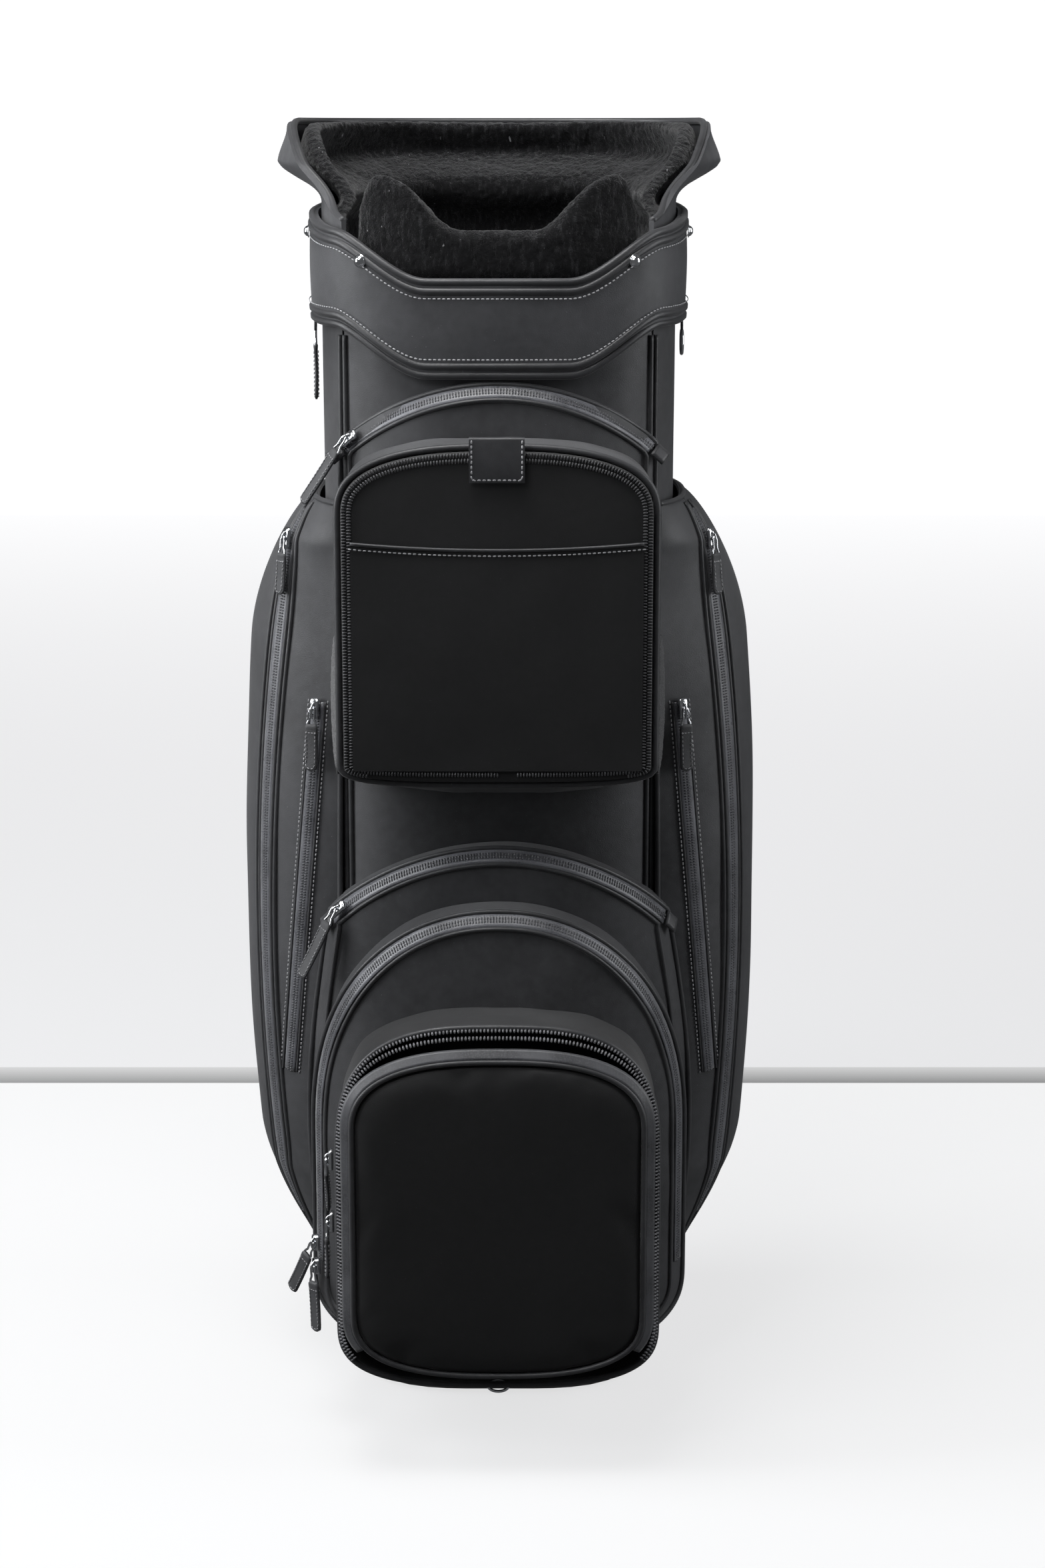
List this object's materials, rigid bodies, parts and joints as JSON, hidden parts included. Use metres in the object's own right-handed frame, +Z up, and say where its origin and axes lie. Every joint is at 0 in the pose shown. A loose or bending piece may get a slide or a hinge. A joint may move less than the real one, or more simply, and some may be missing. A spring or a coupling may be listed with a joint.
{
  "type": "golf staff bag",
  "caption": "Upright golf bag with divided mouth, fleece cuffs, collar, cooler pocket with a drop-down door, stacked arched front pockets and full-length side pockets, with sliding zips.",
  "frame": {"origin": "centre of the base's underside, on the floor", "axes": "+Z up along the trunk, -Y out of the front pockets, +X to the right as seen from the front"},
  "size_m": [0.391, 0.428, 0.955],
  "materials": {
    "leatherette": "matte",
    "fleece": "matte",
    "chrome": "polished",
    "moulded_black": "matte",
    "lining_cloth": "matte",
    "hook_and_loop": "matte",
    "stay_steel": "satin",
    "zip_tape": "satin",
    "thread": "matte"
  },
  "bodies": {
    "bag": {"trunk_front_panel": "leatherette", "trunk_right_panel": "leatherette", "trunk_back_panel": "leatherette", "trunk_left_panel": "leatherette", "base_cup": "moulded_black", "divider_frame": "moulded_black", "divider_sheet_front": "lining_cloth", "divider_sheet_rear": "lining_cloth", "divider_sheet_middle": "lining_cloth", "divider_sheet_back": "lining_cloth", "stay_rod_left": "stay_steel", "stay_rod_right": "stay_steel", "collar_band": "leatherette", "front_lip_pad": "fleece", "rear_cuff_shell": "leatherette", "rear_cuff_pad": "fleece", "stud_front_left": "chrome", "stud_front_right": "chrome", "stud_side_left": "chrome", "stud_side_right": "chrome", "side_pocket_front_left": "leatherette", "side_pocket_rear_left": "leatherette", "side_pocket_front_right": "leatherette", "side_pocket_rear_right": "leatherette", "upper_pocket": "leatherette", "lower_pocket_rear": "leatherette", "lower_pocket_middle": "leatherette", "cooler_gusset": "leatherette", "hook_patch_left": "hook_and_loop", "hook_patch_right": "hook_and_loop", "ball_gusset": "leatherette", "rear_handle": "leatherette"},
    "cooler_door": {"cooler_door": "leatherette", "cooler_slip_pocket": "leatherette", "cooler_top_tab": "leatherette"},
    "ball_door": {"ball_door": "leatherette"},
    "collar_pull": {"collar_pull_left": "leatherette"},
    "collar_ring": {"collar_ring_right": "chrome"},
    "slider_upper": {"zip_slider_upper": "chrome"},
    "pull_upper": {"zip_pull_upper": "leatherette"},
    "slider_lower": {"zip_slider_lower": "chrome"},
    "pull_lower": {"zip_pull_lower": "leatherette"},
    "slider_middle_a": {"zip_slider_middle_a": "chrome"},
    "pull_middle_a": {"zip_pull_middle_a": "leatherette"},
    "slider_middle_b": {"zip_slider_middle_b": "chrome"},
    "pull_middle_b": {"zip_pull_middle_b": "leatherette"},
    "slider_ball_a": {"zip_slider_ball_a": "chrome"},
    "pull_ball_a": {"zip_pull_ball_a": "leatherette"},
    "slider_ball_b": {"zip_slider_ball_b": "chrome"},
    "pull_ball_b": {"zip_pull_ball_b": "leatherette"},
    "slider_slant_left": {"zip_slider_slant_left": "chrome"},
    "pull_slant_left": {"zip_pull_slant_left": "leatherette"},
    "slider_side_left": {"zip_slider_side_left": "chrome"},
    "pull_side_left": {"zip_pull_side_left": "leatherette"},
    "slider_slant_right": {"zip_slider_slant_right": "chrome"},
    "pull_slant_right": {"zip_pull_slant_right": "leatherette"},
    "slider_side_right": {"zip_slider_side_right": "chrome"},
    "pull_side_right": {"zip_pull_side_right": "leatherette"}
  },
  "joints": [
    {"name": "cooler_door_hinge", "type": "hinge", "parent": "bag", "child": "cooler_door", "pos_m": [0, -0.197, 0.502], "axis": [1, 0, 0], "range_deg": [0, 120]},
    {"name": "ball_door_hinge", "type": "hinge", "parent": "bag", "child": "ball_door", "pos_m": [0, -0.235, 0.0746], "axis": [1, 0, 0], "range_deg": [0, 90]},
    {"name": "zip_upper", "type": "hinge", "parent": "bag", "child": "slider_upper", "pos_m": [0, -0.0464, 0.65682], "axis": [0, 0.8053, 0.5929], "range_deg": [0, 95.68]},
    {"name": "pull_upper_lift", "type": "hinge", "parent": "slider_upper", "child": "pull_upper", "pos_m": [-0.10935, -0.10689, 0.73524], "axis": [-0.4405, 0.7923, 0.4222], "range_deg": [0, 150]},
    {"name": "zip_lower", "type": "hinge", "parent": "bag", "child": "slider_lower", "pos_m": [0, -0.07788, 0.30145], "axis": [0, 0.8962, 0.4437], "range_deg": [0, 98.61]},
    {"name": "pull_lower_lift", "type": "hinge", "parent": "slider_lower", "child": "pull_lower", "pos_m": [-0.12051, -0.12711, 0.39273], "axis": [-0.5809, 0.7662, 0.2749], "range_deg": [0, 150]},
    {"name": "zip_middle_a", "type": "slide", "parent": "bag", "child": "slider_middle_a", "axis": [0, 0, 1], "range_m": [0, 0.085]},
    {"name": "pull_middle_a_lift", "type": "hinge", "parent": "slider_middle_a", "child": "pull_middle_a", "pos_m": [-0.13801, -0.16194, 0.145], "axis": [-0.6124, 0.6124, 0.5], "range_deg": [0, 150]},
    {"name": "zip_middle_b", "type": "slide", "parent": "bag", "child": "slider_middle_b", "axis": [0, 0, -1], "range_m": [0, 0.022]},
    {"name": "pull_middle_b_lift", "type": "hinge", "parent": "slider_middle_b", "child": "pull_middle_b", "pos_m": [-0.13801, -0.16194, 0.1265], "axis": [-0.7061, 0.7061, -0.0523], "range_deg": [0, 150]},
    {"name": "zip_ball_a", "type": "slide", "parent": "bag", "child": "slider_ball_a", "axis": [0, 0, -1], "range_m": [0, 0.027]},
    {"name": "pull_ball_a_lift", "type": "hinge", "parent": "slider_ball_a", "child": "pull_ball_a", "pos_m": [-0.1225, -0.223, 0.234], "axis": [0, 0.8988, 0.4384], "range_deg": [0, 150]},
    {"name": "zip_ball_b", "type": "slide", "parent": "bag", "child": "slider_ball_b", "axis": [0, 0, -1], "range_m": [0, 0.075]},
    {"name": "pull_ball_b_lift", "type": "hinge", "parent": "slider_ball_b", "child": "pull_ball_b", "pos_m": [-0.1225, -0.223, 0.187], "axis": [0, 0.9976, -0.0698], "range_deg": [0, 150]},
    {"name": "zip_slant_left", "type": "hinge", "parent": "bag", "child": "slider_slant_left", "pos_m": [0.01714, 1.54638, 0.42715], "axis": [0.9906, -0.098, -0.0958], "range_deg": [0, 9.97]},
    {"name": "pull_slant_left_lift", "type": "hinge", "parent": "slider_slant_left", "child": "pull_slant_left", "pos_m": [-0.13748, -0.08705, 0.53348], "axis": [-0.8835, 0.4685, 0], "range_deg": [0, 150]},
    {"name": "zip_side_left", "type": "hinge", "parent": "bag", "child": "slider_side_left", "pos_m": [1.49694, 0.48639, 0.35624], "axis": [0.309, -0.9511, 0], "range_deg": [0, 15.85]},
    {"name": "pull_side_left_lift", "type": "hinge", "parent": "slider_side_left", "child": "pull_side_left", "pos_m": [-0.15901, -0.0549, 0.65582], "axis": [-0.6336, 0.7737, 0], "range_deg": [0, 150]},
    {"name": "zip_slant_right", "type": "hinge", "parent": "bag", "child": "slider_slant_right", "pos_m": [-0.01714, 1.54638, 0.42715], "axis": [0.9906, 0.098, 0.0958], "range_deg": [0, 9.97]},
    {"name": "pull_slant_right_lift", "type": "hinge", "parent": "slider_slant_right", "child": "pull_slant_right", "pos_m": [0.13748, -0.08705, 0.53348], "axis": [-0.8835, -0.4685, 0], "range_deg": [0, 150]},
    {"name": "zip_side_right", "type": "hinge", "parent": "bag", "child": "slider_side_right", "pos_m": [-1.49694, 0.48639, 0.35624], "axis": [0.309, 0.9511, 0], "range_deg": [0, 15.85]},
    {"name": "pull_side_right_lift", "type": "hinge", "parent": "slider_side_right", "child": "pull_side_right", "pos_m": [0.15901, -0.0549, 0.65582], "axis": [-0.6336, -0.7737, 0], "range_deg": [0, 150]},
    {"name": "collar_pull_swing", "type": "hinge", "parent": "bag", "child": "collar_pull", "pos_m": [-0.1347, -0.02287, 0.8065], "axis": [0, 1, 0], "range_deg": [0, 120]},
    {"name": "collar_ring_swing", "type": "hinge", "parent": "bag", "child": "collar_ring", "pos_m": [0.1347, -0.02287, 0.806], "axis": [0, -1, 0], "range_deg": [0, 120]}
  ]
}
